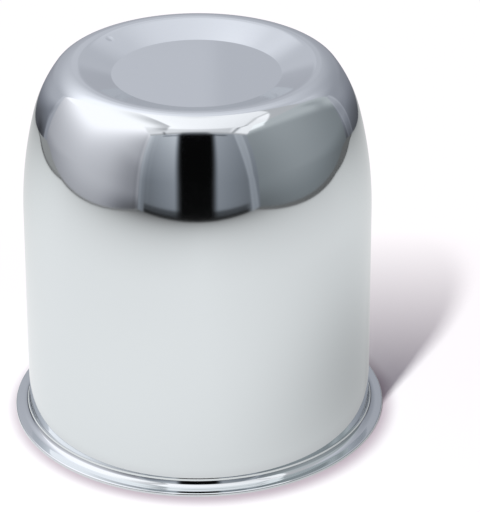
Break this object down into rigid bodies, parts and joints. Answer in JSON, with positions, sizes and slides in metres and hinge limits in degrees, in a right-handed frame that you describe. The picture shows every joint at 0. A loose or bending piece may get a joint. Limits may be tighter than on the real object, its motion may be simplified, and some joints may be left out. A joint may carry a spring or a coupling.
{
  "type": "push-through wheel center cap",
  "caption": "Tall closed cup of chromed sheet with a dished top and a flat flange, pushed through a wheel's hub bore from behind.",
  "frame": {"origin": "on the cap's axis, in the plane of the flange's underside, which it stands on", "axes": "+Z along the axis, from the flange to the closed, dished end; the part is round, so +X is any direction across it"},
  "size_m": [0.1166, 0.1166, 0.116],
  "materials": {
    "chrome_plate": "mirror-bright chrome plate on drawn sheet, duller inside"
  },
  "bodies": {
    "root": {"cap_shell": "chrome_plate"}
  },
  "joints": []
}
